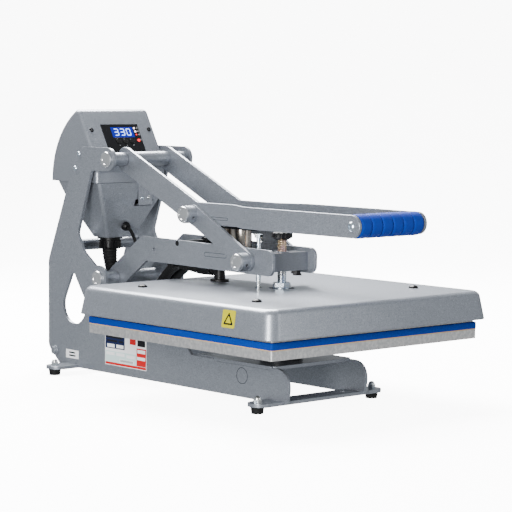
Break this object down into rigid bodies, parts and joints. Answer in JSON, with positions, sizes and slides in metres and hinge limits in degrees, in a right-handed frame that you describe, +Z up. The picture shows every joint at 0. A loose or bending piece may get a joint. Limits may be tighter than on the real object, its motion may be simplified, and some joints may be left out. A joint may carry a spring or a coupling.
{
  "type": "heat press",
  "caption": "Bench-top clamshell heat press with a square heated platen, toggle linkage, hold-down magnets, digital timer box and a foam-gripped lift handle.",
  "frame": {"origin": "middle of the footprint of the whole press, on the surface that its rubber feet stand on", "axes": "+Z up, -Y towards the operator and the handle, +X to the operator's right"},
  "size_m": [0.4084, 0.669, 0.397],
  "materials": {
    "grey_paint": "metallic grey powder coat, fine sparkle",
    "bare_steel": "bare steel tube",
    "polished_steel": "polished",
    "zinc_steel": "bright zinc plate",
    "magnet_nickel": "satin nickel plate",
    "cast_aluminium": "sanded, as cast",
    "blue_silicone": "matt silicone sponge",
    "blue_foam": "closed-cell foam, matt",
    "black_rubber": "matt rubber",
    "black_plastic": "moulded, satin",
    "display_window": "lit digits behind a dark window",
    "circuit_green": "solder mask",
    "black_steel": "black oxide or black enamel",
    "element_steel": "sheathed element, heat tinted",
    "insulation_wool": "glass wool board"
  },
  "bodies": {
    "frame": {"side_plate_left": "grey_paint", "side_plate_right": "grey_paint", "foot_strips": "grey_paint", "rubber_feet": "black_rubber", "foot_studs": "zinc_steel", "platform_plate": "grey_paint", "platen_pedestal": "black_steel", "lower_platen": "cast_aluminium", "silicone_pad": "blue_silicone", "pivot_shafts": "polished_steel", "pivot_spacers": "grey_paint", "cross_tubes": "grey_paint", "hood_shell": "grey_paint", "lower_housing": "grey_paint", "rear_panel": "grey_paint", "control_panel": "black_plastic", "display": "display_window", "circuit_board": "circuit_green", "power_inlet": "black_plastic", "cable_glands": "black_plastic", "sensor_bracket": "grey_paint", "housing_screws": "zinc_steel", "heater_hose": "black_rubber", "magnet_cable": "black_rubber"},
    "up_button": {"button_up": "black_plastic"},
    "mode_button": {"button_mode": "black_plastic"},
    "down_button": {"button_down": "black_plastic"},
    "power_switch": {"power_rocker": "black_plastic"},
    "handle": {"handle_plate_left": "grey_paint", "handle_plate_right": "grey_paint", "handle_cross_members": "grey_paint", "grip_tube": "bare_steel", "foam_grip": "blue_foam", "grip_bolts": "zinc_steel", "armature_plate": "black_steel", "mid_pivot_pins": "polished_steel"},
    "toggle": {"toggle_link_left": "grey_paint", "toggle_link_right": "grey_paint", "front_pivot_pins": "polished_steel"},
    "lower_arm": {"lower_arm_left": "grey_paint", "lower_arm_right": "grey_paint", "arm_hub_tube": "grey_paint", "crossbar": "grey_paint", "bridge_plate": "grey_paint", "magnet_base": "black_steel", "electromagnets": "magnet_nickel", "arm_bolts": "black_steel", "hose_clip": "black_plastic"},
    "heater_head": {"heater_plate": "cast_aluminium", "heating_element": "element_steel", "insulation": "insulation_wool", "head_cover": "grey_paint", "head_hub": "zinc_steel", "hanger_bolts": "zinc_steel", "cover_screws": "black_steel", "cable_elbow": "black_plastic"},
    "pressure_spindle": {"pressure_screw": "zinc_steel", "pressure_knob": "black_plastic"},
    "gas_spring_cylinder": {"gas_cylinder": "black_steel"},
    "gas_spring_rod": {"gas_rod": "black_steel"}
  },
  "joints": [
    {"name": "arm_lift", "type": "hinge", "parent": "frame", "child": "lower_arm", "pos_m": [0, 0.206, 0.148], "axis": [-1, 0, 0], "range_deg": [0, 45], "deforming": ["heater_hose", "magnet_cable"]},
    {"name": "handle_swing", "type": "hinge", "parent": "frame", "child": "handle", "pos_m": [0, 0.1845, 0.325], "axis": [-1, 0, 0], "range_deg": [0, 90.3]},
    {"name": "toggle_swing", "type": "hinge", "parent": "handle", "child": "toggle", "pos_m": [0, 0.022, 0.2525], "axis": [1, 0, 0], "range_deg": [0, 111.2]},
    {"name": "head_height", "type": "slide", "parent": "lower_arm", "child": "heater_head", "axis": [0, 0, 1], "range_m": [0, 0.01]},
    {"name": "screw_turn", "type": "hinge", "parent": "heater_head", "child": "pressure_spindle", "pos_m": [0, -0.116, 0.2], "axis": [0, 0, 1], "range_deg": [0, 1440]},
    {"name": "gas_tilt", "type": "hinge", "parent": "frame", "child": "gas_spring_cylinder", "pos_m": [0.02, 0.19, 0.12], "axis": [-1, 0, 0], "range_deg": [0, 41.4]},
    {"name": "gas_stroke", "type": "slide", "parent": "gas_spring_cylinder", "child": "gas_spring_rod", "axis": [0, -0.824, 0.5665], "range_m": [0, 0.0224]},
    {"name": "up_press", "type": "slide", "parent": "frame", "child": "up_button", "axis": [0, 0.8695, -0.4939], "range_m": [0, 0.001], "stiffness_N_per_m": 400, "springref_m": -0.001},
    {"name": "mode_press", "type": "slide", "parent": "frame", "child": "mode_button", "axis": [0, 0.8695, -0.4939], "range_m": [0, 0.001], "stiffness_N_per_m": 400, "springref_m": -0.001},
    {"name": "down_press", "type": "slide", "parent": "frame", "child": "down_button", "axis": [0, 0.8695, -0.4939], "range_m": [0, 0.001], "stiffness_N_per_m": 400, "springref_m": -0.001},
    {"name": "power_rock", "type": "hinge", "parent": "frame", "child": "power_switch", "pos_m": [0.021, 0.3233, 0.311], "axis": [1, 0, 0], "range_deg": [0, 16]}
  ],
  "couplings": [
    {"joint": "handle_swing", "follows": "arm_lift", "ratio": 2.0052},
    {"joint": "toggle_swing", "follows": "arm_lift", "ratio": 2.4688},
    {"joint": "gas_tilt", "follows": "arm_lift", "ratio": 0.9189},
    {"joint": "gas_stroke", "follows": "arm_lift", "m_per_rad": 0.028394},
    {"joint": "screw_turn", "follows": "head_height", "rad_per_m": 2513.3}
  ]
}
